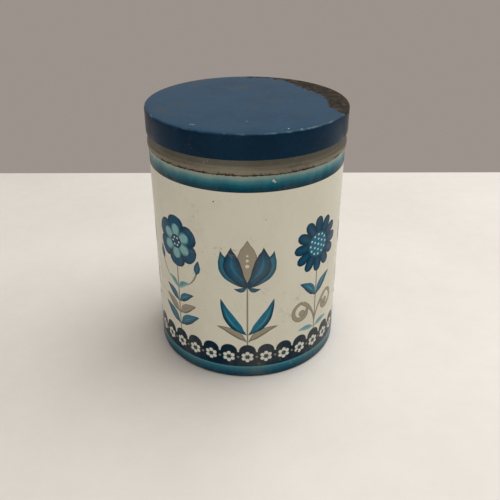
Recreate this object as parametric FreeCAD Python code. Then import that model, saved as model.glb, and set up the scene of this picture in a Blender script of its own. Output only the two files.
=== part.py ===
"""Round cookie tin with a slip lid, pressed and rolled from tinplate sheet.

Millimetres, +Z up.  The origin is the middle of the foot, on the surface that
the tin stands on.  The front of the print faces -Y and the side seam is at +Y.

Every piece is one sheet, so each is drawn as a path that follows one face of
the sheet in the (radius, height) plane, given its thickness, and turned about Z.
"""
import FreeCAD, Part
import math
import os

Vector = FreeCAD.Vector

# the sheet and the printed wall
SHEET = 0.28             # thickness of the tinplate in every piece
BODY_RADIUS = 55.0       # outside of the printed wall
BODY_HEIGHT = 126.6      # from the floor to the wall's cut top edge

# the foot, where the wall is rolled in round the bottom
FOOT_OUTER_BEND = 1.2    # outside radius between the wall and the foot
FOOT_FLAT = 0.8          # width of the flat ring that the tin stands on
FOOT_INNER_BEND = 0.8    # outside radius between the foot and the lip
LIP_HEIGHT = 3.4         # from the floor to the lip's cut edge

# the bottom, whose flange is held in the foot
FLANGE_HEIGHT = 4.6      # from the floor to the flange's cut edge
SHOULDER_BEND = 0.5      # inside radius where the bottom turns in over the lip
SHOULDER_GAP = 0.1       # height of the bend's start above the lip's cut edge
STEP_INSET = 8.0         # from the lip in to the stiffening step
STEP_WIDTH = 1.6         # width of the slope of that step
STEP_RISE = 0.7          # height of that step
STEP_BEND = 0.9          # bend radius at each end of the slope

# the side seam, folded flat on the inside of the wall
SEAM_WIDTH = 4.6         # width of the fold
SEAM_LAYERS = 2          # sheets folded against the inside of the wall
SEAM_END_GAP = 1.2       # from the fold's ends to the flange and to the neck ring
SEAM_LINE_WIDTH = 0.35   # width of the line that the seam shows outside
SEAM_LINE_DEPTH = 0.1    # depth of that line

# the bare neck ring, pushed into the top of the wall
PLUG_DEPTH = 9.0         # length of the ring inside the wall
SEAT_GAP = 0.15          # height of the bead above the wall's cut edge
BEAD_PROUD = 0.58        # how far the stop bead stands out from the wall
BEAD_HEIGHT = 2.9        # height of the bead's full width
BEAD_SLOPE = 1.1         # height of the slope from the bead up to the neck
BEAD_LOWER_BEND = 0.6    # outside radius of the bead's lower corner
BEAD_UPPER_BEND = 1.2    # radius of the bead's upper corner
NECK_BEND = 1.0          # radius where the slope meets the neck
NECK_HEIGHT = 21.0       # from the wall's cut edge to the top of the neck's roll
ROLL_WIDTH = 1.8         # width of the roll at the top of the neck
ROLL_BEND = 0.8          # outside radius of the roll's corners
ROLL_RETURN = 1.0        # length of the roll's last turn, back towards the neck

# the lid
LID_CLEARANCE = 0.3      # all round, between the neck and the lid's hem
LID_HEADROOM = 0.12      # between the roll and the underside of the lid
LID_SKIRT = 13.4         # height of the lid
LID_CORNER = 1.2         # outside radius between the lid's top and its skirt
HEM_HEIGHT = 2.6         # height of the hem folded up inside the skirt's edge

# the sizes that follow
wall_inner_radius = BODY_RADIUS - SHEET
foot_width = FOOT_OUTER_BEND + FOOT_FLAT + FOOT_INNER_BEND
lip_radius = BODY_RADIUS - foot_width
bead_radius = BODY_RADIUS + BEAD_PROUD
lid_radius = BODY_RADIUS + BEAD_PROUD + SHEET
neck_radius = lid_radius - 2 * SHEET - LID_CLEARANCE
neck_top = BODY_HEIGHT + NECK_HEIGHT
lid_top = neck_top + LID_HEADROOM + SHEET
lid_rim = lid_top - LID_SKIRT


def left_of(direction):
    """A quarter turn to the left, seen with radius to the right and height up."""
    return Vector(-direction.z, 0, direction.x)


def unit(vector):
    """The vector at length 1."""
    return vector * (1 / vector.Length)


def sheet_face_edges(corners, shift):
    """Straight runs and tangent bends through (radius, height, bend) corners, moved left by shift."""
    points = [Vector(radius, 0, height) for radius, height, bend in corners]
    edges = []
    out = unit(points[1] - points[0])
    here = points[0] + left_of(out) * shift
    for i in range(1, len(points) - 1):
        into = unit(points[i] - points[i - 1])
        out = unit(points[i + 1] - points[i])
        bend = corners[i][2]
        turn = math.atan2(into.x * out.z - into.z * out.x, into.dot(out))
        side = math.copysign(1, turn)
        reach = bend * math.tan(abs(turn) / 2)
        bend_start = points[i] - into * reach
        bend_end = points[i] + out * reach
        centre = bend_start + left_of(into) * (bend * side)
        towards_middle = unit(left_of(into) + left_of(out)) * -side
        middle = centre + towards_middle * (bend - shift * side)
        bend_start = bend_start + left_of(into) * shift
        bend_end = bend_end + left_of(out) * shift
        if (bend_start - here).Length > 1e-6:
            edges.append(Part.makeLine(here, bend_start))
        edges.append(Part.Arc(bend_start, middle, bend_end).toShape())
        here = bend_end
    end = points[-1] + left_of(out) * shift
    edges.append(Part.makeLine(here, end))
    return edges


def turned(edges):
    """The solid made by turning a closed outline once about Z."""
    outline = Part.Wire(Part.__sortEdges__(edges))
    return Part.Face(outline).revolve(Vector(0, 0, 0), Vector(0, 0, 1), 360)


def turned_sheet(corners, shift):
    """A turned sheet: corners follow one face, and the other face is shift to their left."""
    near = sheet_face_edges(corners, 0)
    far = sheet_face_edges(corners, shift)
    first_end = Part.makeLine(near[0].firstVertex().Point, far[0].firstVertex().Point)
    last_end = Part.makeLine(near[-1].lastVertex().Point, far[-1].lastVertex().Point)
    return turned(near + [last_end] + far + [first_end])


def back_strip(inner_radius, outer_radius, low, high, width):
    """A strip of a ring, of the given width along the wall, centred on +Y."""
    angle = math.degrees(width / BODY_RADIUS)
    corners = [
        Vector(inner_radius, 0, low),
        Vector(outer_radius, 0, low),
        Vector(outer_radius, 0, high),
        Vector(inner_radius, 0, high),
        Vector(inner_radius, 0, low),
    ]
    section = Part.Face(Part.makePolygon(corners))
    section.rotate(Vector(0, 0, 0), Vector(0, 0, 1), 90 - angle / 2)
    return section.revolve(Vector(0, 0, 0), Vector(0, 0, 1), angle)


def body_wall():
    """The printed sheet: a straight wall rolled in at the foot, with its side seam at the back."""
    corners = [
        (BODY_RADIUS, BODY_HEIGHT, 0),
        (BODY_RADIUS, 0, FOOT_OUTER_BEND),
        (lip_radius, 0, FOOT_INNER_BEND),
        (lip_radius, LIP_HEIGHT, 0),
    ]
    wall = turned_sheet(corners, -SHEET)
    fold = back_strip(
        wall_inner_radius - SEAM_LAYERS * SHEET,
        wall_inner_radius + SHEET / 2,
        FLANGE_HEIGHT + SEAM_END_GAP,
        BODY_HEIGHT - PLUG_DEPTH - SEAM_END_GAP,
        SEAM_WIDTH,
    )
    seam_line = back_strip(
        BODY_RADIUS - SEAM_LINE_DEPTH,
        BODY_RADIUS + SEAM_LINE_DEPTH,
        FOOT_OUTER_BEND,
        BODY_HEIGHT + SHEET,
        SEAM_LINE_WIDTH,
    )
    return wall.fuse(fold).cut(seam_line).removeSplitter()


def bottom_end():
    """The bottom: its flange lies in the foot's channel and its panel stands clear of the floor."""
    channel_outer = wall_inner_radius
    channel_inner = lip_radius + SHEET
    panel = LIP_HEIGHT + SHOULDER_GAP + SHOULDER_BEND
    step_outer = lip_radius - STEP_INSET
    corners = [
        (channel_outer, FLANGE_HEIGHT, 0),
        (channel_outer, SHEET, FOOT_OUTER_BEND - SHEET),
        (channel_inner, SHEET, FOOT_INNER_BEND - SHEET),
        (channel_inner, panel, SHOULDER_BEND),
        (step_outer, panel, STEP_BEND),
        (step_outer - STEP_WIDTH, panel + STEP_RISE, STEP_BEND),
        (0, panel + STEP_RISE, 0),
    ]
    return turned_sheet(corners, -SHEET)


def neck_ring():
    """The bare ring in the wall's mouth: a plug, a stop bead over the cut edge, a neck and a roll."""
    bead_low = BODY_HEIGHT + SEAT_GAP
    bead_high = BODY_HEIGHT + BEAD_HEIGHT
    roll_radius = neck_radius - ROLL_WIDTH
    roll_low = neck_top - ROLL_WIDTH
    corners = [
        (wall_inner_radius, BODY_HEIGHT - PLUG_DEPTH, 0),
        (wall_inner_radius, bead_low, SEAT_GAP),
        (bead_radius, bead_low, BEAD_LOWER_BEND),
        (bead_radius, bead_high, BEAD_UPPER_BEND),
        (neck_radius, bead_high + BEAD_SLOPE, NECK_BEND),
        (neck_radius, neck_top, ROLL_BEND),
        (roll_radius, neck_top, ROLL_BEND),
        (roll_radius, roll_low, ROLL_BEND),
        (roll_radius + ROLL_RETURN, roll_low, 0),
    ]
    return turned_sheet(corners, SHEET)


def lid_shell():
    """The drawn lid: a flat top and a skirt whose edge is folded up inside as a flat hem."""
    hem_radius = lid_radius - 2 * SHEET
    hem_top = lid_rim + HEM_HEIGHT
    outside = sheet_face_edges(
        [
            (0, lid_top, 0),
            (lid_radius, lid_top, LID_CORNER),
            (lid_radius, lid_rim, SHEET),
            (hem_radius, lid_rim, SHEET),
            (hem_radius, hem_top, 0),
        ],
        0,
    )
    inside = sheet_face_edges(
        [
            (0, lid_top, 0),
            (lid_radius, lid_top, LID_CORNER),
            (lid_radius, hem_top, 0),
        ],
        -SHEET,
    )
    hem_edge = Part.makeLine(outside[-1].lastVertex().Point, inside[-1].lastVertex().Point)
    axis_edge = Part.makeLine(outside[0].firstVertex().Point, inside[0].firstVertex().Point)
    return turned(outside + [hem_edge] + inside + [axis_edge])


os.makedirs("parts", exist_ok=True)
pieces = {
    "body_wall": body_wall(),
    "bottom_end": bottom_end(),
    "neck_ring": neck_ring(),
    "lid_shell": lid_shell(),
}
for name, piece in pieces.items():
    piece.exportStep("parts/" + name + ".step")
    box = piece.optimalBoundingBox()
    size = "radius %.2f, height %.2f to %.2f" % (box.XMax, box.ZMin, box.ZMax)
    print(name, "valid:", piece.isValid(), "solids:", len(piece.Solids), size)
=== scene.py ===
"""A round cookie tin with a flowered wall, a bare neck ring and a plain slip lid.

Metres, +Z up: the tin stands on z = 0, the middle of the print faces -Y and the
side seam is at +Y.  Places on the print are given in millimetres, (round the wall,
up the wall), as they lie on the flat sheet.
"""
import math
import bpy
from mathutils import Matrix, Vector


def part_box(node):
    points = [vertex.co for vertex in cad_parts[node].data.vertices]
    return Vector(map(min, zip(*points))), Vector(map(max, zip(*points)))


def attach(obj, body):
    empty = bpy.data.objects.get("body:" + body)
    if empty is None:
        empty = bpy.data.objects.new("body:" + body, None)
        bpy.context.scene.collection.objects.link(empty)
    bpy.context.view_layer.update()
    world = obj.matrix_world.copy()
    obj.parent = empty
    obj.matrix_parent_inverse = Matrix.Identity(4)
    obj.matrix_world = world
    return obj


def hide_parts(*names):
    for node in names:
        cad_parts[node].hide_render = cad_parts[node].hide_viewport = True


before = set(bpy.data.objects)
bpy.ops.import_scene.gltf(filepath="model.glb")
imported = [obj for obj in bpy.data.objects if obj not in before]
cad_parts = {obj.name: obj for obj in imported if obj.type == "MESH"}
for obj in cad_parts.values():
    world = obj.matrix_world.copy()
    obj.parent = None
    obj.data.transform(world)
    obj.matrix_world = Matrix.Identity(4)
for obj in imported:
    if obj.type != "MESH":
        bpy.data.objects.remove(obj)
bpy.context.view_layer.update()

# ---------------------------------------------------------------- the printed wall
# One sheet of tinplate, printed and varnished flat, then rolled into a cylinder
# and locked along a folded seam at the back.  Its top edge is left as cut, and
# its lower edge is rolled in to make the foot.
sheet = 0.00028
wall_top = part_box("body_wall")[1].z
wall_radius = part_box("body_wall")[1].x
foot_bend = 0.0012
lip_bend = 0.0008
lip_radius = wall_radius - 0.0028
lip_top = 0.0034
fold_low, fold_high = 0.0058, 0.1164
fold_half = 0.0023
seam_half = 0.000175
seam_depth = 0.0001


def rounded_outline(corners, run):
    """A sheet's face as (radius, height) points: runs between corners of (radius, height, bend)."""
    points = [corners[0][:2]]
    into = math.atan2(corners[1][1] - corners[0][1], corners[1][0] - corners[0][0])
    for corner, after in zip(corners[1:], corners[2:] + [None]):
        out = math.atan2(after[1] - corner[1], after[0] - corner[0]) if after else into
        bend = corner[2] if after else 0
        turn = math.remainder(out - into, math.tau)
        reach = bend * math.tan(abs(turn) / 2)
        start = (corner[0] - reach * math.cos(into), corner[1] - reach * math.sin(into))
        here = points[-1]
        steps = math.ceil(math.dist(here, start) / run - 0.001)
        for step in range(1, steps + 1):
            share = step / steps
            radius = here[0] + (start[0] - here[0]) * share
            height = here[1] + (start[1] - here[1]) * share
            points.append((radius, height))
        arc_steps = math.ceil(abs(turn) / math.radians(16)) if bend else 0
        for step in range(arc_steps):
            heading = into + turn * (step + 0.5) / arc_steps
            chord = 2 * bend * math.sin(abs(turn) / arc_steps / 2)
            last = points[-1]
            points.append((last[0] + chord * math.cos(heading), last[1] + chord * math.sin(heading)))
        into = out
    return points


def turned_sheet(name, outline, around=256):
    """A ring of edges carried along an outline, as on a spinning lathe, and left in edit mode."""
    bpy.ops.object.select_all(action="DESELECT")
    radius, height = outline[0]
    bpy.ops.mesh.primitive_circle_add(vertices=around, radius=radius, location=(0, 0, height))
    piece = bpy.context.object
    piece.name = name
    bpy.ops.object.transform_apply(location=True, rotation=False, scale=False)
    bpy.ops.object.mode_set(mode="EDIT")
    bpy.ops.mesh.select_mode(type="EDGE")
    bpy.ops.mesh.select_all(action="SELECT")
    for (radius, height), (wider, higher) in zip(outline, outline[1:]):
        bpy.ops.mesh.extrude_edges_move(TRANSFORM_OT_translate={"value": (0, 0, higher - height)})
        bpy.ops.transform.resize(value=(wider / radius, wider / radius, 1), center_override=(0, 0, higher))
    return piece


def pick_faces(piece, wanted):
    """Selects the faces whose middles are wanted, and nothing else, and stays in edit mode."""
    bpy.ops.mesh.select_mode(type="FACE")
    bpy.ops.mesh.select_all(action="DESELECT")
    bpy.ops.object.mode_set(mode="OBJECT")
    for face in piece.data.polygons:
        face.select = wanted(face.center)
    bpy.ops.object.mode_set(mode="EDIT")


def close_middle(piece, reach):
    """Draws the ring of edges nearest the axis together into a point."""
    bpy.ops.mesh.select_mode(type="VERT")
    bpy.ops.mesh.select_all(action="DESELECT")
    bpy.ops.object.mode_set(mode="OBJECT")
    for corner in piece.data.vertices:
        corner.select = corner.co.xy.length < reach
    bpy.ops.object.mode_set(mode="EDIT")
    bpy.ops.mesh.extrude_edges_move()
    bpy.ops.mesh.merge(type="CENTER")


def close_up():
    """Merges doubles, points the faces outwards and leaves edit mode."""
    bpy.ops.mesh.select_all(action="SELECT")
    bpy.ops.mesh.remove_doubles(threshold=0.000002)
    bpy.ops.mesh.normals_make_consistent(inside=False)
    bpy.ops.object.mode_set(mode="OBJECT")


def ripple(piece, depth, size, share):
    """Shallow waves in a thin sheet that has been rolled and handled, all of them inwards."""
    loose = piece.vertex_groups.new(name="loose")
    for corner in piece.data.vertices:
        loose.add([corner.index], share(corner.co), "REPLACE")
    waves = bpy.data.textures.new(piece.name + "_waves", "CLOUDS")
    waves.noise_scale = size
    waves.noise_depth = 1
    dents = piece.modifiers.new("waves", "DISPLACE")
    dents.texture = waves
    dents.strength = depth
    dents.mid_level = 1
    dents.vertex_group = loose.name
    bpy.ops.object.modifier_apply(modifier=dents.name)
    piece.vertex_groups.clear()


def give_thickness(piece, thickness):
    """The sheet's thickness, on its inner side: slot two is its inner face and slot three its cut edges."""
    for _ in range(3):
        bpy.ops.object.material_slot_add()
    solid = piece.modifiers.new("thickness", "SOLIDIFY")
    solid.thickness = thickness
    solid.offset = -1
    solid.use_even_offset = True
    solid.material_offset = 1
    solid.material_offset_rim = 2
    bpy.ops.object.modifier_apply(modifier=solid.name)


wall_outline = rounded_outline(
    [
        (wall_radius, wall_top),
        (wall_radius, fold_high, 0),
        (wall_radius, fold_low, 0),
        (wall_radius, 0, foot_bend),
        (lip_radius, 0, lip_bend),
        (lip_radius, lip_top),
    ],
    0.004,
)
wall = turned_sheet("printed_wall", wall_outline)
pick_faces(wall, lambda place: place.y > 0)
for side in (-fold_half, -seam_half, seam_half, fold_half):
    bpy.ops.mesh.bisect(plane_co=(side, 0, 0), plane_no=(1, 0, 0))
    pick_faces(wall, lambda place: place.y > 0)
close_up()
ripple(wall, 0.00012, 0.05, lambda place: min(1, max(0, min(place.z - 0.008, 0.112 - place.z) / 0.02)))
bpy.ops.object.mode_set(mode="EDIT")
pick_faces(wall, lambda place: place.y > 0 and abs(place.x) < seam_half and place.z > foot_bend)
bpy.ops.mesh.inset(thickness=0.00004, depth=-seam_depth, use_boundary=False)
bpy.ops.object.mode_set(mode="OBJECT")
give_thickness(wall, sheet)
bpy.ops.object.mode_set(mode="EDIT")


def under_the_fold(place):
    """Whether a place is on the inside of the wall, where the seam's folded sheets lie."""
    inside = wall_radius - 2.2 * sheet < place.y < wall_radius - 0.7 * sheet
    return inside and abs(place.x) < fold_half and fold_low < place.z < fold_high


pick_faces(wall, under_the_fold)
bpy.ops.mesh.inset(thickness=0.00012, depth=2 * sheet)
bpy.ops.object.mode_set(mode="OBJECT")
bpy.ops.object.shade_smooth_by_angle(angle=math.radians(35))


def feed(tree, socket, value):
    """Sets a node's socket to a number or a colour, or links it to the socket that the value is."""
    if isinstance(value, bpy.types.NodeSocket):
        tree.links.new(value, socket)
    else:
        socket.default_value = value


def reckon(tree, operation, *values):
    """The result of a Math node."""
    node = tree.nodes.new("ShaderNodeMath")
    node.operation = operation
    for socket, value in zip(node.inputs, values):
        feed(tree, socket, value)
    return node.outputs[0]


def spread(tree, value, low, high, to_low=0.0, to_high=1.0):
    """The value's place between low and high, eased at both ends, as a number from to_low to to_high."""
    node = tree.nodes.new("ShaderNodeMapRange")
    node.interpolation_type = "SMOOTHSTEP"
    for socket, number in zip(node.inputs, (value, low, high, to_low, to_high)):
        feed(tree, socket, number)
    return node.outputs[0]


def lay_over(tree, amount, under, over):
    """One colour laid over another, by an amount from 0 to 1."""
    node = tree.nodes.new("ShaderNodeMix")
    node.data_type = "RGBA"
    for number, value in ((0, amount), (6, under), (7, over)):
        feed(tree, node.inputs[number], value)
    return node.outputs[2]


def graded(tree, value, stops):
    """A colour that runs through the stops, each a value and a colour."""
    node = tree.nodes.new("ShaderNodeValToRGB")
    low, high = stops[0][0], stops[-1][0]
    for position, colour in stops[1:-1]:
        node.color_ramp.elements.new((position - low) / (high - low)).color = (*colour, 1)
    node.color_ramp.elements[0].color = (*stops[0][1], 1)
    node.color_ramp.elements[-1].color = (*stops[-1][1], 1)
    share = tree.nodes.new("ShaderNodeMapRange")
    for socket, number in zip(share.inputs, (value, low, high)):
        feed(tree, socket, number)
    feed(tree, node.inputs[0], share.outputs[0])
    return node.outputs[0]


def placed(tree, point, place=(0, 0, 0), turn=(0, 0, 0), size=(1, 1, 1)):
    """A point as seen from a place, turn and size on the piece."""
    node = tree.nodes.new("ShaderNodeMapping")
    node.vector_type = "TEXTURE"
    for socket, value in zip(node.inputs, (point, place, turn, size)):
        feed(tree, socket, value)
    return node.outputs[0]


def parted(tree, point):
    """The x, y and z of a point."""
    node = tree.nodes.new("ShaderNodeSeparateXYZ")
    feed(tree, node.inputs[0], point)
    return node.outputs


def distance(tree, x, y):
    """How far (x, y) lies from the middle."""
    square = reckon(tree, "MULTIPLY", x, x)
    return reckon(tree, "SQRT", reckon(tree, "MULTIPLY_ADD", y, y, square))


def seen_from(tree, across, up, root_across, root_up, turn):
    """A place on the flat sheet as seen from a root that looks along a turn: how far along, how far left."""
    right = reckon(tree, "SUBTRACT", across, root_across)
    above = reckon(tree, "SUBTRACT", up, root_up)
    cosine = reckon(tree, "COSINE", turn)
    sine = reckon(tree, "SINE", turn)
    along = reckon(tree, "MULTIPLY_ADD", right, cosine, reckon(tree, "MULTIPLY", above, sine))
    turned_back = reckon(tree, "MULTIPLY", right, sine)
    aside = reckon(tree, "SUBTRACT", reckon(tree, "MULTIPLY", above, cosine), turned_back)
    return along, aside


def swelling(tree, value, shape):
    """A number that swells and shrinks along a curve, given as (value, number) points."""
    node = tree.nodes.new("ShaderNodeFloatCurve")
    node.mapping.extend = "HORIZONTAL"
    curve = node.mapping.curves[0]
    curve.points[0].location = shape[0]
    curve.points[1].location = shape[-1]
    for place in shape[1:-1]:
        curve.points.new(*place)
    node.mapping.update()
    feed(tree, node.inputs["Value"], value)
    return node.outputs[0]


def new_group(name, needs, gives):
    """An empty node group with named inputs and outputs, each given as its name and its kind."""
    tree = bpy.data.node_groups.new(name, "ShaderNodeTree")
    for side, sockets in (("INPUT", needs), ("OUTPUT", gives)):
        for socket, kind in sockets.items():
            tree.interface.new_socket(socket, in_out=side, socket_type="NodeSocket" + kind)
    return tree, tree.nodes.new("NodeGroupInput").outputs, tree.nodes.new("NodeGroupOutput").inputs


def use(tree, group, values):
    """A node group placed in a tree, with its inputs set by name."""
    node = tree.nodes.new("ShaderNodeGroup")
    node.node_tree = group
    for name, value in values.items():
        feed(tree, node.inputs[name], value)
    return node.outputs


sheet_needs = {"Across": "Float", "Up": "Float"}
root_needs = {"Root across": "Float", "Root up": "Float", "Turn": "Float"}
ink_needs = {"Deepen": "Float", "Side": "Float", "Fade": "Float"}
ink_needs.update({"Rim": "Color", "Heart": "Color", "Under": "Color"})


def inked(tree, given, inside, aside, along):
    """Ink laid over the colour under it: the rim's ink turns to the heart's inwards, aside and along."""
    tone = reckon(tree, "MULTIPLY", inside, given["Deepen"])
    tone = reckon(tree, "MULTIPLY_ADD", aside, given["Side"], tone)
    tone = reckon(tree, "MULTIPLY_ADD", along, given["Fade"], tone)
    tree.nodes[-1].use_clamp = True
    cover = spread(tree, inside, 0, 0.22)
    ink = lay_over(tree, tone, given["Rim"], given["Heart"])
    return lay_over(tree, cover, given["Under"], ink)


def brush(name, shape):
    """A painted stroke from a root, as wide along its length as its shape says and bowed to one side."""
    needs = {**sheet_needs, **root_needs, "Length": "Float", "Width": "Float", "Bow": "Float", **ink_needs}
    tree, given, result = new_group(name, needs, {"Over": "Color"})
    places = (given["Across"], given["Up"], given["Root across"], given["Root up"], given["Turn"])
    reached, aside = seen_from(tree, *places)
    along = reckon(tree, "DIVIDE", reached, given["Length"])
    arch = reckon(tree, "MULTIPLY", along, reckon(tree, "SUBTRACT", 1, along))
    aside = reckon(tree, "MULTIPLY_ADD", arch, given["Bow"], aside)
    half = reckon(tree, "MULTIPLY", swelling(tree, along, shape), given["Width"])
    inside = reckon(tree, "SUBTRACT", half, reckon(tree, "ABSOLUTE", aside))
    feed(tree, result["Over"], inked(tree, given, inside, aside, along))
    return tree


leaf = brush("leaf_stroke", [(0, 0), (0.12, 0.42), (0.42, 1), (0.75, 0.62), (1, 0)])
petal_shape = [(0, 0), (0.03, 0.3), (0.25, 0.7), (0.55, 1), (0.76, 0.74), (0.9, 0.3), (1, 0)]
petal = brush("petal_stroke", petal_shape)
round_petal_shape = [(0, 0), (0.03, 0.3), (0.4, 0.85), (0.68, 1), (0.88, 0.78), (0.97, 0.4), (1, 0)]
round_petal = brush("round_petal_stroke", round_petal_shape)
stalk = brush("stalk_stroke", [(0, 0), (0.01, 1), (0.99, 1), (1, 0)])
arm = brush("arm_stroke", [(0, 0), (0.02, 0.3), (0.5, 0.55), (0.99, 1), (1, 0)])


def curl_brush():
    """A painted curl that winds in towards its middle."""
    needs = {**sheet_needs, **root_needs, "Flip": "Float", "Radius": "Float", "Tighten": "Float"}
    needs.update({"Sweep": "Float", "Width": "Float", **ink_needs})
    tree, given, result = new_group("curl_stroke", needs, {"Over": "Color"})
    places = (given["Across"], given["Up"], given["Root across"], given["Root up"], given["Turn"])
    ahead, aside = seen_from(tree, *places)
    aside = reckon(tree, "MULTIPLY", aside, given["Flip"])
    behind = reckon(tree, "MULTIPLY", ahead, -1)
    angle = reckon(tree, "ARCTAN2", reckon(tree, "MULTIPLY", aside, -1), behind)
    along = reckon(tree, "DIVIDE", reckon(tree, "ADD", angle, math.pi), given["Sweep"])
    path = reckon(tree, "SUBTRACT", given["Radius"], reckon(tree, "MULTIPLY", along, given["Tighten"]))
    outward = reckon(tree, "SUBTRACT", distance(tree, ahead, aside), path)
    swell = swelling(tree, along, [(0, 0.6), (0.35, 0.85), (0.75, 1), (0.93, 0.7), (1, 0)])
    half = reckon(tree, "MULTIPLY", swell, given["Width"])
    inside = reckon(tree, "SUBTRACT", half, reckon(tree, "ABSOLUTE", outward))
    feed(tree, result["Over"], inked(tree, given, inside, outward, along))
    return tree


curl = curl_brush()


def berry_brush():
    """A painted dot."""
    needs = {**sheet_needs, **root_needs, "Radius": "Float", **ink_needs}
    tree, given, result = new_group("berry_dot", needs, {"Over": "Color"})
    right = reckon(tree, "SUBTRACT", given["Across"], given["Root across"])
    above = reckon(tree, "SUBTRACT", given["Up"], given["Root up"])
    inside = reckon(tree, "SUBTRACT", given["Radius"], distance(tree, right, above))
    feed(tree, result["Over"], inked(tree, given, inside, right, above))
    return tree


berry = berry_brush()


def petals_round_group():
    """Folds the sheet round a flower's middle, so that one petal is painted all the way round."""
    needs = {**sheet_needs, **root_needs, "Half": "Float"}
    tree, given, result = new_group("petals_round", needs, sheet_needs)
    places = (given["Across"], given["Up"], given["Root across"], given["Root up"], given["Turn"])
    ahead, aside = seen_from(tree, *places)
    back = reckon(tree, "MULTIPLY", given["Half"], -1)
    angle = reckon(tree, "WRAP", reckon(tree, "ARCTAN2", aside, ahead), given["Half"], back)
    away = distance(tree, ahead, aside)
    feed(tree, result["Across"], reckon(tree, "MULTIPLY", away, reckon(tree, "COSINE", angle)))
    feed(tree, result["Up"], reckon(tree, "MULTIPLY", away, reckon(tree, "SINE", angle)))
    return tree


petals_round = petals_round_group()

cream = (0.75, 0.74, 0.625)
night = (0.0, 0.020, 0.042)
navy = (0.0, 0.040, 0.085)
blue = (0.0, 0.080, 0.165)
teal = (0.006, 0.165, 0.270)
pale_teal = (0.220, 0.480, 0.500)
taupe = (0.345, 0.312, 0.238)
dark_taupe = (0.140, 0.125, 0.090)


def noise(tree, point, size, detail=2.0, roughness=0.5):
    """Clouded grain from 0 to 1, of a size in millimetres, or in three sizes for a stretched grain."""
    node = tree.nodes.new("ShaderNodeTexNoise")
    sizes = size if isinstance(size, tuple) else (size, size, size)
    feed(tree, node.inputs["Vector"], placed(tree, point, size=sizes))
    node.inputs["Scale"].default_value = 1
    node.inputs["Detail"].default_value = detail
    node.inputs["Roughness"].default_value = roughness
    return node.outputs[0]


def scuff_group():
    """Fine scratches that run one way, in patches."""
    needs = {"Point": "Vector", "Turn": "Vector", "Amount": "Float"}
    tree, given, result = new_group("scuffs", needs, {"Mask": "Float"})
    turned = placed(tree, given["Point"], turn=given["Turn"])
    grain = noise(tree, turned, (11, 1.3, 1.3), 1)
    off_line = reckon(tree, "ABSOLUTE", reckon(tree, "SUBTRACT", grain, 0.5))
    lines = spread(tree, off_line, 0.016, 0.003)
    patches = spread(tree, noise(tree, given["Point"], 13, 2), 0.60, 0.70)
    broken_lines = reckon(tree, "MULTIPLY", lines, patches)
    feed(tree, result["Mask"], reckon(tree, "MULTIPLY", broken_lines, given["Amount"]))
    return tree


scuffs = scuff_group()


def speck_group():
    """Small round marks and chips, each of its own size, on some places only."""
    needs = {"Point": "Vector", "Pitch": "Vector", "Share": "Float", "Radius": "Float"}
    tree, given, result = new_group("specks", needs, {"Mask": "Float"})
    cells = tree.nodes.new("ShaderNodeTexVoronoi")
    cells.inputs["Scale"].default_value = 1
    feed(tree, cells.inputs["Vector"], placed(tree, given["Point"], size=given["Pitch"]))
    red, green, _ = parted(tree, cells.outputs["Color"])
    chosen = reckon(tree, "LESS_THAN", red, given["Share"])
    radius = reckon(tree, "MULTIPLY", reckon(tree, "ADD", green, 0.3), given["Radius"])
    grain = noise(tree, given["Point"], 0.5, 1)
    ragged = reckon(tree, "MULTIPLY_ADD", grain, 0.08, cells.outputs["Distance"])
    dots = spread(tree, reckon(tree, "SUBTRACT", radius, ragged), -0.02, 0.03)
    feed(tree, result["Mask"], reckon(tree, "MULTIPLY", dots, chosen))
    return tree


specks = speck_group()


def uneven_group():
    """A slow drift of tone over the surface, with a finer grain in it."""
    tree, given, result = new_group("uneven_tone", {"Point": "Vector", "Size": "Vector"}, {"Tone": "Float"})
    scaled = placed(tree, given["Point"], size=given["Size"])
    slow = noise(tree, scaled, 1, 2)
    fine = noise(tree, scaled, 0.12, 3, 0.65)
    feed(tree, result["Tone"], reckon(tree, "MULTIPLY_ADD", fine, 0.3, reckon(tree, "MULTIPLY", slow, 0.7)))
    return tree


uneven_tone = uneven_group()


def rust_group():
    """Rust that creeps in from an edge: Reach is how far it gets from it, in millimetres."""
    needs = {"Point": "Vector", "From edge": "Float", "Reach": "Float", "Patchy": "Float"}
    tree, given, result = new_group("edge_rust", needs, {"Mask": "Float", "Colour": "Color"})
    ragged = noise(tree, given["Point"], 1.4, 4, 0.6)
    patches = noise(tree, given["Point"], 9, 1)
    reach = reckon(tree, "MULTIPLY", given["Reach"], spread(tree, ragged, 0.3, 0.7, 0.2, 1.4))
    held = spread(tree, patches, given["Patchy"], reckon(tree, "ADD", given["Patchy"], 0.12))
    near = spread(tree, given["From edge"], reach, reckon(tree, "MULTIPLY", reach, 0.4))
    feed(tree, result["Mask"], reckon(tree, "MULTIPLY", near, held))
    stops = [(0.3, (0.014, 0.008, 0.005)), (0.55, (0.045, 0.020, 0.010)), (0.75, (0.12, 0.052, 0.022))]
    feed(tree, result["Colour"], graded(tree, ragged, stops))
    return tree


edge_rust = rust_group()


def new_material(name, roughness, **finish):
    """A material, its node tree, its shader with the finish's plain numbers set, and the point in mm."""
    material = bpy.data.materials.new(name)
    material.use_nodes = True
    tree = material.node_tree
    shader = tree.nodes["Principled BSDF"]
    shader.inputs["Roughness"].default_value = roughness
    for socket, value in finish.items():
        shader.inputs[socket.replace("_", " ")].default_value = value
    coordinates = tree.nodes.new("ShaderNodeTexCoord")
    point = placed(tree, coordinates.outputs["Object"], size=(0.001, 0.001, 0.001))
    return material, tree, shader, point


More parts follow.
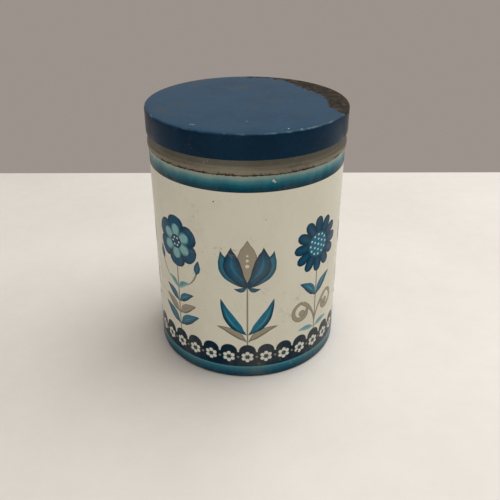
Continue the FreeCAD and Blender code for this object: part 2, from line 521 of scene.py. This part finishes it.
print_made = new_material("flower_print", 0.3, Specular_IOR_Level=0.06)
print_material, sheet_print, print_shader, point = print_made
x, y, up = parted(sheet_print, point)
angle = reckon(sheet_print, "ARCTAN2", x, reckon(sheet_print, "MULTIPLY", y, -1))
round_the_wall = reckon(sheet_print, "MULTIPLY", angle, wall_radius * 1000)
repeat = math.pi * wall_radius * 1000


def motif_place(place, width):
    """The flat sheet as seen from the foot of a mirrored motif, which comes again every width."""
    across = reckon(sheet_print, "SUBTRACT", round_the_wall, place)
    across = reckon(sheet_print, "WRAP", across, width / 2, -width / 2)
    return reckon(sheet_print, "ABSOLUTE", across), up


def ink(rim, heart, deepen=0.8, side=0.0, fade=0.0):
    """The inks of a stroke and how they run into each other."""
    return {"Rim": (*rim, 1), "Heart": (*heart, 1), "Deepen": deepen, "Side": side, "Fade": fade}


def stroke_at(under, shape, place, root, turn, values):
    """Lays a stroke over the colours under it, with its root at a place on a motif."""
    rooted = {"Across": place[0], "Up": place[1], "Root across": root[0], "Root up": root[1], "Turn": turn}
    return use(sheet_print, shape, {**rooted, **values, "Under": under})["Over"]


def paint(under, shape, place, root, tip, width, bow, inks):
    """Paints a stroke from its root to its tip; a bow above 0 arches it to its left."""
    turn = math.atan2(tip[1] - root[1], tip[0] - root[0])
    sizes = {"Length": math.dist(root, tip), "Width": width, "Bow": -4 * bow}
    return stroke_at(under, shape, place, root, turn, {**sizes, **inks})


def paint_curl(under, place, centre, radius, tighten, start, sweep, width, inks):
    """Paints a curl from its start angle; a sweep below 0 winds it clockwise."""
    sizes = {"Radius": radius, "Tighten": tighten, "Sweep": math.radians(abs(sweep)), "Width": width}
    sizes["Flip"] = math.copysign(1, sweep)
    return stroke_at(under, curl, place, centre, math.radians(start), {**sizes, **inks})


def paint_berry(under, place, centre, radius, inks):
    """Paints a dot."""
    return stroke_at(under, berry, place, centre, 0, {"Radius": radius, **inks})


def petals(place, centre, first, count):
    """The sheet folded round a flower's middle, with its first petal at an angle."""
    rooted = {"Across": place[0], "Up": place[1], "Root across": centre[0], "Root up": centre[1]}
    fold = {"Turn": math.radians(first), "Half": math.pi / count}
    folded = use(sheet_print, petals_round, {**rooted, **fold})
    return folded["Across"], folded["Up"]


blue_petal = ink(night, blue, 0.36)
teal_petal = ink(navy, teal, 0.5)
taupe_petal = ink(dark_taupe, taupe, 1.3)
taupe_leaf = ink(dark_taupe, taupe, 0.8, side=0.2)
teal_leaf = ink(navy, teal, 0.55, side=0.25)
pale_leaf = ink(pale_teal, teal, 0.3, side=0.2)
cream_dot = ink(cream, cream)
dark_stem = ink(dark_taupe, taupe, 1.5)
vein = ink(teal, pale_teal, 1.5)

# the tulip: half of each flower is painted, and mirrored about its straight stem
tulip = motif_place(0, repeat / 2)
colour = paint((*cream, 1), stalk, tulip, (0, 64), (0, 22), 0.45, 0, dark_stem)
colour = paint(colour, leaf, tulip, (0.2, 25), (18, 35), 2.4, 2.2, taupe_leaf)
colour = paint(colour, leaf, tulip, (0.2, 30), (15, 54), 3.3, -2.6, teal_leaf)
colour = paint(colour, leaf, tulip, (2.6, 32.4), (13.4, 50.6), 0.4, -2.4, vein)
colour = paint(colour, petal, tulip, (0, 62), (14.5, 84), 4.2, -3.8, teal_petal)
colour = paint(colour, petal, tulip, (0, 62), (0, 91), 5.6, 0, taupe_petal)
colour = paint(colour, petal, tulip, (0, 62), (8.6, 86.5), 5.0, -3.6, blue_petal)
colour = paint(colour, petal, tulip, (1.4, 66), (8.2, 82.5), 1.5, -3.0, ink(blue, teal, 0.9))
colour = paint(colour, leaf, tulip, (0, 62), (7.5, 61), 1.5, -1.4, teal_petal)
for height, radius in ((81.5, 0.7), (78.6, 0.95), (75.2, 1.2)):
    colour = paint_berry(colour, tulip, (0, height), radius, cream_dot)

# the blossom: six round petals on six, above a straight stem of paired leaves and two buds
blossom = motif_place(-repeat / 4, repeat)
colour = paint(colour, stalk, blossom, (0, 78), (0, 22), 0.45, 0, dark_stem)
colour = paint(colour, arm, blossom, (0, 54), (14, 66), 0.7, -2.8, dark_stem)
colour = paint(colour, leaf, blossom, (13.8, 65), (15.4, 74.6), 2.1, 0, teal_petal)
for height, width, inks in (
    (27, 3.2, teal_leaf),
    (35, 2.8, taupe_leaf),
    (43, 2.5, teal_leaf),
    (52, 1.9, pale_leaf),
):
    tip = (width * 4.6, height + width * 3.1)
    colour = paint(colour, leaf, blossom, (0.2, height), tip, width, 1.2, inks)
    along_vein = (tip[0] * 0.8, height + (tip[1] - height) * 0.84)
    colour = paint(colour, leaf, blossom, (1.6, height + 1.4), along_vein, 0.3, 0.9, vein)
blossom_middle = (0, 82)
rings = petals(blossom, blossom_middle, 90, 6)
colour = paint(colour, round_petal, rings, (1, 0), (15.6, 0), 6.4, 0, blue_petal)
colour = paint(colour, round_petal, rings, (1, 0), (10.6, 0), 3.9, 0, ink(navy, pale_teal, 0.5))
colour = paint_berry(colour, blossom, blossom_middle, 4.2, ink(night, blue, 0.8))
colour = paint_berry(colour, petals(blossom, blossom_middle, 60, 6), (2.4, 0), 0.7, cream_dot)

# the daisy: twelve narrow petals round a dotted disc, above leaves and a pair of scrolls
daisy = motif_place(repeat / 4, repeat)
daisy_middle = (0, 80)
colour = paint(colour, stalk, daisy, (0, 78), (0, 22), 0.45, 0, dark_stem)
colour = paint(colour, arm, daisy, (0, 24), (10.2, 45.4), 1.5, 3.4, taupe_petal)
colour = paint_curl(colour, daisy, (10.6, 39.2), 6.3, 2.6, 95, -300, 1.7, taupe_petal)
colour = paint_berry(colour, daisy, (10.2, 38.4), 2.3, taupe_petal)
colour = paint(colour, leaf, daisy, (0.2, 47), (12.6, 58.5), 2.9, 1.6, teal_leaf)
colour = paint(colour, leaf, daisy, (2, 49.2), (10.4, 57), 0.4, 1.3, vein)
colour = paint(colour, leaf, daisy, (0.2, 25), (13, 26.8), 1.8, 0.8, pale_leaf)
rays = petals(daisy, daisy_middle, 90, 12)
colour = paint(colour, round_petal, rays, (4, 0), (17, 0), 3.3, 0, blue_petal)
colour = paint_berry(colour, daisy, daisy_middle, 8.4, ink(night, teal, 0.5))
colour = paint_berry(colour, rays, (6, 0), 0.7, cream_dot)
colour = paint_berry(colour, petals(daisy, daisy_middle, 90, 6), (3.2, 0), 0.7, cream_dot)
colour = paint_berry(colour, daisy, daisy_middle, 0.8, cream_dot)

# the border: a dark band with a scalloped edge, round dotted flowers in it, and a graded foot
flower_pitch = repeat / 16
flower_height = 14.6
scallop_height = 18.4
scallop_radius = 4.9
border = motif_place(0, flower_pitch)
above = reckon(sheet_print, "SUBTRACT", up, scallop_height)
from_scallop = distance(sheet_print, border[0], above)
scallop = spread(sheet_print, from_scallop, scallop_radius + 0.1, scallop_radius - 0.1)
colour = lay_over(sheet_print, scallop, colour, (*night, 1))
below_scallops = spread(sheet_print, up, scallop_height - 0.2, scallop_height - 0.4)
colour = lay_over(sheet_print, below_scallops, colour, (*night, 1))
colour = paint_berry(colour, border, (flower_pitch / 2, flower_height), 0.9, taupe_petal)
florets = petals(border, (0, flower_height), 90, 6)
floret = ink((0.5, 0.55, 0.5), (0.76, 0.74, 0.64), 2)
colour = paint_berry(colour, florets, (2.5, 0), 1.35, floret)
colour = paint_berry(colour, border, (0, flower_height), 1.3, teal_petal)
foot_band_top = 7.7
foot_stops = [
    (0.0, (0.001, 0.030, 0.060)),
    (3.0, (0.004, 0.070, 0.120)),
    (6.2, (0.030, 0.160, 0.220)),
    (7.6, (0.080, 0.280, 0.330)),
]
foot_band = graded(sheet_print, up, foot_stops)
in_foot_band = spread(sheet_print, up, foot_band_top + 0.1, foot_band_top - 0.1)
colour = lay_over(sheet_print, in_foot_band, colour, foot_band)

# the graded band round the top, whose shading runs a little up and down
streaks = noise(sheet_print, point, (9, 9, 30), 3)
streaked = reckon(sheet_print, "MULTIPLY_ADD", reckon(sheet_print, "SUBTRACT", streaks, 0.5), 3.5, up)
band_foot = 117.5
band_stops = [
    (band_foot, (0.0, 0.034, 0.056)),
    (119.5, (0.0, 0.052, 0.086)),
    (121.5, (0.004, 0.120, 0.175)),
    (123.5, (0.070, 0.230, 0.260)),
    (125.0, (0.230, 0.350, 0.330)),
    (126.6, (0.360, 0.390, 0.330)),
]
top_band = graded(sheet_print, streaked, band_stops)
in_band = spread(sheet_print, up, band_foot - 0.1, band_foot + 0.1)
colour = lay_over(sheet_print, in_band, colour, top_band)

# a hard life: faint yellowing, specks, scuffs, nicks along the cut edge and rust at both ends
tone = use(sheet_print, uneven_tone, {"Point": point, "Size": (30, 30, 45)})["Tone"]
yellowed = spread(sheet_print, tone, 0.35, 0.75, 0, 0.16)
worn = lay_over(sheet_print, yellowed, colour, (0.42, 0.36, 0.25, 1))
marks = use(sheet_print, specks, {"Point": point, "Pitch": (8, 8, 8), "Share": 0.3, "Radius": 0.08})["Mask"]
worn = lay_over(sheet_print, reckon(sheet_print, "MULTIPLY", marks, 0.75), worn, (0.13, 0.11, 0.085, 1))
dark_mark = ink((0.1, 0.08, 0.06), (0.05, 0.04, 0.03), 2)
bare_mark = ink((0.5, 0.5, 0.46), (0.62, 0.61, 0.56), 2)
sheet_place = (round_the_wall, up)
for place, radius, inks in (
    ((13.2, 123.4), 0.75, bare_mark),
    ((14.1, 122.6), 0.55, bare_mark),
    ((-17.3, 111.7), 0.5, dark_mark),
    ((9.6, 102.4), 0.35, dark_mark),
    ((-31.0, 66.0), 0.4, dark_mark),
    ((31.0, 12.4), 0.9, dark_mark),
):
    worn = paint_berry(worn, sheet_place, place, radius, inks)
smears = reckon(
    sheet_print,
    "MULTIPLY",
    spread(sheet_print, noise(sheet_print, point, 3.5, 5, 0.7), 0.56, 0.68),
    spread(sheet_print, noise(sheet_print, point, 21, 2), 0.56, 0.66, 0, 0.45),
)
worn = lay_over(sheet_print, smears, worn, (0.26, 0.23, 0.13, 1))
smudge = use(sheet_print, scuffs, {"Point": point, "Turn": (0.5, 0.9, 0.3), "Amount": 0.35})["Mask"]
worn = lay_over(sheet_print, smudge, worn, (0.20, 0.18, 0.15, 1))
from_top = reckon(sheet_print, "SUBTRACT", wall_top * 1000, up)
nick_sizes = {"Pitch": (5, 5, 5), "Share": 0.42, "Radius": 0.26}
nicks = use(sheet_print, specks, {"Point": point, **nick_sizes})["Mask"]
nicked = reckon(sheet_print, "MULTIPLY", nicks, spread(sheet_print, from_top, 4.2, 0.5))
worn = lay_over(sheet_print, nicked, worn, (0.5, 0.48, 0.42, 1))
rust = use(sheet_print, edge_rust, {"Point": point, "From edge": from_top, "Reach": 0.55, "Patchy": 0.25})
worn = lay_over(sheet_print, rust["Mask"], worn, rust["Colour"])
foot_rust = use(sheet_print, edge_rust, {"Point": point, "From edge": up, "Reach": 1.6, "Patchy": 0.5})
worn = lay_over(sheet_print, foot_rust["Mask"], worn, foot_rust["Colour"])
feed(sheet_print, print_shader.inputs["Base Color"], worn)
rusty = reckon(sheet_print, "MAXIMUM", rust["Mask"], foot_rust["Mask"])
dull = reckon(sheet_print, "MAXIMUM", smudge, rusty)
gloss = reckon(sheet_print, "MULTIPLY_ADD", dull, 0.4, spread(sheet_print, tone, 0.3, 0.8, 0.20, 0.34))
feed(sheet_print, print_shader.inputs["Roughness"], gloss)


def dented(tree, shader, height, strength, depth):
    """Bumps the shader's surface by a height from 0 to 1, whose full depth is in metres."""
    bump = tree.nodes.new("ShaderNodeBump")
    bump.inputs["Strength"].default_value = strength
    bump.inputs["Distance"].default_value = depth
    feed(tree, bump.inputs["Height"], height)
    feed(tree, shader.inputs["Normal"], bump.outputs[0])


eaten = reckon(sheet_print, "MULTIPLY", rust["Mask"], -0.6)
relief = reckon(sheet_print, "MULTIPLY_ADD", nicked, -1, eaten)
relief = reckon(sheet_print, "MULTIPLY_ADD", smudge, -0.4, relief)
dented(sheet_print, print_shader, relief, 0.5, 0.00008)


def tin_material(name, bright, dark, stain, edge, shaded_above=1000):
    """Dull bare tinplate: stains, scuffs, rust near an edge and painted shade from a height up, in
    millimetres.
    """
    material, tree, shader, point = new_material(name, 0.4)
    shader.inputs["Specular IOR Level"].default_value = 0.4
    x, y, up = parted(tree, point)
    tone = use(tree, uneven_tone, {"Point": point, "Size": (26, 26, 14)})["Tone"]
    metal = graded(tree, tone, [(0.32, dark), (0.5, bright), (0.7, stain)])
    # painted shade: the metal is painted darker from a height up, for the shadow under the lid's overhang
    painted_shade = spread(tree, up, shaded_above, shaded_above + 1.6, 0, 0.6)
    metal = lay_over(tree, painted_shade, metal, (0.05, 0.052, 0.052, 1))
    rubbed = use(tree, scuffs, {"Point": point, "Turn": (0, 0.1, 0.4), "Amount": 0.5})["Mask"]
    metal = lay_over(tree, rubbed, metal, (0.45, 0.43, 0.38, 1))
    spots = use(tree, specks, {"Point": point, "Pitch": (4, 4, 4), "Share": 0.25, "Radius": 0.16})["Mask"]
    metal = lay_over(tree, reckon(tree, "MULTIPLY", spots, 0.7), metal, (0.05, 0.028, 0.014, 1))
    from_edge = reckon(tree, "ABSOLUTE", reckon(tree, "SUBTRACT", up, edge))
    rust = use(tree, edge_rust, {"Point": point, "From edge": from_edge, "Reach": 1.3, "Patchy": 0.4})
    feed(tree, shader.inputs["Base Color"], lay_over(tree, rust["Mask"], metal, rust["Colour"]))
    dirty = reckon(tree, "MAXIMUM", rust["Mask"], spots)
    feed(tree, shader.inputs["Metallic"], spread(tree, dirty, 0, 1, 0.9, 0.05))
    gloss = spread(tree, tone, 0.3, 0.7, 0.38, 0.55)
    feed(tree, shader.inputs["Roughness"], reckon(tree, "MULTIPLY_ADD", dirty, 0.35, gloss))
    dented(tree, shader, reckon(tree, "ADD", tone, rust["Mask"]), 0.25, 0.00006)
    return material


inside_tin = tin_material("inside_tin", (0.50, 0.48, 0.43), (0.40, 0.38, 0.33), (0.44, 0.38, 0.28), -20)
cut_edge = tin_material("cut_edge", (0.16, 0.12, 0.09), (0.07, 0.045, 0.03), (0.22, 0.17, 0.12), 126.6)


def coat(piece, *materials):
    """Fills a sheet's slots: its outer face, its inner face and its cut edges."""
    for slot, material in zip(piece.material_slots, materials):
        slot.material = material


coat(wall, print_material, inside_tin, cut_edge)

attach(wall, "tin")
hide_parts("body_wall")

# ---------------------------------------------------------------- the bottom
# A disc pressed from plain tinplate.  Its flange lies in the rolled foot's channel,
# and its panel stands clear of the table, with one shallow step to stiffen it.
panel_under = 0.0040
step_rise = 0.0007
step_outer = lip_radius - 0.008
step_inner = step_outer - 0.0016
flange_top = 0.0046
shoulder_bend = 0.0005
step_bend = 0.0009
pole = 0.003

bottom_outline = rounded_outline(
    [
        (wall_radius - sheet, flange_top),
        (wall_radius - sheet, sheet, foot_bend - sheet),
        (lip_radius + sheet, sheet, lip_bend - sheet),
        (lip_radius + sheet, panel_under, shoulder_bend),
        (step_outer, panel_under, step_bend),
        (step_inner, panel_under + step_rise, step_bend),
        (pole, panel_under + step_rise),
    ],
    0.006,
)
bottom = turned_sheet("pressed_bottom", bottom_outline)
close_middle(bottom, pole + 0.0001)
close_up()
give_thickness(bottom, sheet)
bpy.ops.object.shade_smooth_by_angle(angle=math.radians(35))
under_tin = tin_material("under_tin", (0.36, 0.34, 0.30), (0.26, 0.24, 0.20), (0.30, 0.23, 0.15), 0.0)
coat(bottom, under_tin, inside_tin, cut_edge)

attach(bottom, "tin")
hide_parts("bottom_end")

# ---------------------------------------------------------------- the neck ring
# A ring of bare tinplate pushed down into the wall's mouth.  A bead stops it on
# the wall's cut edge, and its top is rolled in so that no sharp edge is left.
neck_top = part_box("neck_ring")[1].z
bead_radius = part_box("neck_ring")[1].x
neck_radius = 0.0550
bead_low, bead_high = wall_top + 0.00015, wall_top + 0.0029
roll_radius, roll_low = neck_radius - 0.0018, neck_top - 0.0018
neck_outline = rounded_outline(
    [
        (wall_radius - sheet, wall_top - 0.009),
        (wall_radius - sheet, bead_low, 0.00015),
        (bead_radius, bead_low, 0.0006),
        (bead_radius, bead_high, 0.0012),
        (neck_radius, bead_high + 0.0011, 0.0010),
        (neck_radius, neck_top, 0.0008),
        (roll_radius, neck_top, 0.0008),
        (roll_radius, roll_low, 0.0008),
        (roll_radius + 0.0010, roll_low),
    ],
    0.003,
)
neck = turned_sheet("neck_ring_sheet", neck_outline)
close_up()
give_thickness(neck, sheet)
bpy.ops.object.shade_smooth_by_angle(angle=math.radians(35))
neck_bright, neck_dark, neck_stain = (0.23, 0.215, 0.165), (0.10, 0.09, 0.07), (0.175, 0.165, 0.09)
# the neck is painted darker from 130.2 mm up: a painted shade under the lid's overhang
neck_tin = tin_material("neck_tin", neck_bright, neck_dark, neck_stain, 126.8, 130.2)
coat(neck, neck_tin, inside_tin, cut_edge)

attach(neck, "tin")
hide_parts("neck_ring")

# ---------------------------------------------------------------- the lid
# One drawn cap of tinplate under a coat of dark blue lacquer.  The edge of its
# skirt is folded up flat inside, which grips the neck and leaves no sharp edge.
lid_low, lid_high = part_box("lid_shell")
lid_radius = lid_high.x
lid_top, lid_rim = lid_high.z, lid_low.z
lid_corner = 0.0012
hem_top = lid_rim + 0.0026
lid_outline = rounded_outline(
    [
        (pole, lid_top),
        (lid_radius, lid_top, lid_corner),
        (lid_radius, lid_rim, sheet),
        (lid_radius - 2 * sheet, lid_rim, sheet),
        (lid_radius - 2 * sheet, hem_top),
    ],
    0.004,
)
lid = turned_sheet("lid_cap", lid_outline)
close_middle(lid, pole + 0.0001)
close_up()
ripple(lid, 0.00016, 0.06, lambda place: min(1, max(0, (lid_radius - 0.004 - place.xy.length) / 0.02)))
give_thickness(lid, sheet * 0.96)
bpy.ops.object.shade_smooth_by_angle(angle=math.radians(35))

lacquer_made = new_material("navy_lacquer", 0.3, Specular_IOR_Level=0.08)
lacquer_material, lacquer, lacquer_shader, point = lacquer_made
x, y, up = parted(lacquer, point)
away = distance(lacquer, x, y)
clock = reckon(lacquer, "DEGREES", reckon(lacquer, "ARCTAN2", x, reckon(lacquer, "MULTIPLY", y, -1)))
from_above = reckon(lacquer, "SUBTRACT", lid_top * 1000, up)
tone = use(lacquer, uneven_tone, {"Point": point, "Size": (24, 24, 24)})["Tone"]
# one lacquer all over: the top is painted a lighter blue than the skirt, a painted reflection of the bright
# room above
skirt_stops = [(0.3, (0.0005, 0.014, 0.034)), (0.5, (0.001, 0.021, 0.050)), (0.7, (0.002, 0.027, 0.060))]
top_stops_painted_reflection = [(0.3, (0.012, 0.048, 0.094)), (0.5, (0.018, 0.062, 0.115)), (0.7, (0.025, 0.070, 0.122))]
on_top = spread(lacquer, from_above, 1.1, 0.2)
lacquered = lay_over(lacquer, on_top, graded(lacquer, tone, skirt_stops), graded(lacquer, tone, top_stops_painted_reflection))
stains = spread(lacquer, noise(lacquer, point, 12, 4, 0.6), 0.56, 0.72, 0, 0.5)
stains = reckon(lacquer, "MULTIPLY", on_top, stains)
lacquered = lay_over(lacquer, stains, lacquered, (0.055, 0.062, 0.035, 1))

# the rim of the top is rubbed in places and chipped along it; its corner line is partly a painted highlight
rubbed = use(lacquer, scuffs, {"Point": point, "Turn": (0, 0, 0.7), "Amount": 0.4})["Mask"]
lacquered = lay_over(lacquer, rubbed, lacquered, (0.10, 0.15, 0.19, 1))
# painted highlight: a lighter blue line along the top's corner, partly rubbed lacquer
out_on_corner = reckon(lacquer, "SUBTRACT", away, from_above)
corner_line = spread(lacquer, out_on_corner, 54.9, 55.1)
rubbed_and_highlit_corner = spread(lacquer, noise(lacquer, point, 9, 4, 0.65), 0.48, 0.66, 0, 0.5)
rubbed_and_highlit_corner = reckon(lacquer, "MULTIPLY", corner_line, rubbed_and_highlit_corner)
lacquered = lay_over(lacquer, rubbed_and_highlit_corner, lacquered, (0.17, 0.24, 0.28, 1))
chip_sizes = {"Pitch": (3.2, 3.2, 3.2), "Share": 0.22, "Radius": 0.12}
chips = use(lacquer, specks, {"Point": point, **chip_sizes})["Mask"]
chipped = reckon(lacquer, "MULTIPLY", chips, spread(lacquer, out_on_corner, 54.0, 54.5))
lacquered = lay_over(lacquer, chipped, lacquered, (0.40, 0.41, 0.39, 1))
flecks = use(lacquer, specks, {"Point": point, "Pitch": (7, 7, 7), "Share": 0.16, "Radius": 0.06})["Mask"]
lacquered = lay_over(lacquer, reckon(lacquer, "MULTIPLY", flecks, 0.8), lacquered, (0.5, 0.52, 0.52, 1))
for place, radius, shade in (
    ((20.0, -48.0), 0.55, (0.50, 0.52, 0.52)),
    ((-27.6, -41.0), 0.50, (0.38, 0.42, 0.43)),
    ((-26.6, -41.2), 0.45, (0.38, 0.42, 0.43)),
    ((-25.7, -41.5), 0.40, (0.38, 0.42, 0.43)),
    ((0.0, -36.0), 0.45, (0.36, 0.40, 0.42)),
    ((0.6, -39.8), 1.20, (0.045, 0.048, 0.022)),
    ((-13.8, -38.0), 0.60, (0.010, 0.014, 0.012)),
):
    placed_at = {"Across": x, "Up": y, "Root across": place[0], "Root up": place[1], "Radius": radius}
    placed_at.update({"Deepen": 0, "Rim": (*shade, 1), "Heart": (*shade, 1), "Under": lacquered})
    lacquered = use(lacquer, berry, placed_at)["Over"]

# a patch worn down to the dark metal, along the right and the back of the top's edge
reach_stops = [(64, 0), (72, 9), (80, 12), (100, 12.5), (119, 14.5)]
reach_stops += [(131, 14), (143, 10), (162, 5), (185, 3), (200, 0)]
last_degree, longest_reach = 200, 20
reach_shape = [(degrees / last_degree, reached / longest_reach) for degrees, reached in reach_stops]
reach = swelling(lacquer, reckon(lacquer, "DIVIDE", clock, last_degree), reach_shape)
skirt_drop = reckon(lacquer, "MULTIPLY", from_above, 4)
inward = reckon(lacquer, "SUBTRACT", lid_radius * 1000, reckon(lacquer, "SUBTRACT", away, skirt_drop))
ragged = noise(lacquer, point, 4, 5, 0.7)
even_edge = reckon(lacquer, "MULTIPLY_ADD", reach, longest_reach, -6.5)
edge_of_wear = reckon(lacquer, "MULTIPLY_ADD", ragged, 12, even_edge)
bare = spread(lacquer, reckon(lacquer, "SUBTRACT", edge_of_wear, inward), -0.4, 0.5)
bare = reckon(lacquer, "MULTIPLY", bare, spread(lacquer, reach, 0.02, 0.06))
bare_stops = [(0.3, (0.010, 0.008, 0.006)), (0.5, (0.027, 0.021, 0.015)), (0.7, (0.085, 0.064, 0.042))]
bare_metal = graded(lacquer, noise(lacquer, point, 3, 5, 0.65), bare_stops)
feed(lacquer, lacquer_shader.inputs["Base Color"], lay_over(lacquer, bare, lacquered, bare_metal))
worn_off = reckon(lacquer, "MAXIMUM", bare, chipped)
feed(lacquer, lacquer_shader.inputs["Metallic"], reckon(lacquer, "MULTIPLY", worn_off, 0.2))
gloss = spread(lacquer, tone, 0.3, 0.75, 0.22, 0.34)
dull = reckon(lacquer, "MAXIMUM", bare, rubbed)
feed(lacquer, lacquer_shader.inputs["Roughness"], reckon(lacquer, "MULTIPLY_ADD", dull, 0.3, gloss))
relief = reckon(lacquer, "MULTIPLY_ADD", tone, 0.3, reckon(lacquer, "MULTIPLY", worn_off, -1))
dented(lacquer, lacquer_shader, relief, 0.5, 0.00006)
coat(lid, lacquer_material, inside_tin, cut_edge)

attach(lid, "lid")
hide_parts("lid_shell")

# ---------------------------------------------------------------- the floor, the light and the camera
# A plain pale table top in a warm grey room, lit by one wide soft window light
# from the right and above, with a weak low light to fill the front.
bpy.ops.object.select_all(action="DESELECT")
bpy.ops.mesh.primitive_plane_add(size=1, location=(0, -0.24, 0))
floor = bpy.context.object
floor.name = "table_top"
floor.scale = (1.6, 1.0, 1)
bpy.ops.object.transform_apply(location=True, rotation=False, scale=True)
floor_paint, floor_tree, floor_shader, point = new_material("pale_table_paint", 0.6)
tone = use(floor_tree, uneven_tone, {"Point": point, "Size": (120, 120, 120)})["Tone"]
pale = graded(floor_tree, tone, [(0.3, (0.77, 0.74, 0.69)), (0.7, (0.84, 0.82, 0.77))])
feed(floor_tree, floor_shader.inputs["Base Color"], pale)
floor.data.materials.append(floor_paint)


def soft_light(name, place, size, power):
    """A square soft light that faces the tin."""
    bpy.ops.object.light_add(type="AREA", location=place)
    light = bpy.context.object
    light.name = name
    light.rotation_euler = (Vector((0, 0, 0.07)) - light.location).to_track_quat("-Z", "Y").to_euler()
    light.data.size = size
    light.data.energy = power


soft_light("window", (0.45, 0.2, 1.2), 1.3, 15.5)
soft_light("room_fill", (-0.3, -0.85, 0.22), 0.8, 1.25)

world = bpy.data.worlds.new("room")
bpy.context.scene.world = world
world.use_nodes = True
world.node_tree.nodes["Background"].inputs["Color"].default_value = (0.33, 0.29, 0.26, 1)
world.node_tree.nodes["Background"].inputs["Strength"].default_value = 1

bpy.ops.object.camera_add(
    location=(0, -0.33384, 0.24170),
    rotation=(math.radians(60.71), 0, math.radians(-0.295)),
)
camera = bpy.context.object
camera.data.lens = 44.35
camera.data.sensor_width = 36
bpy.context.scene.camera = camera
bpy.context.scene.view_settings.view_transform = "Standard"
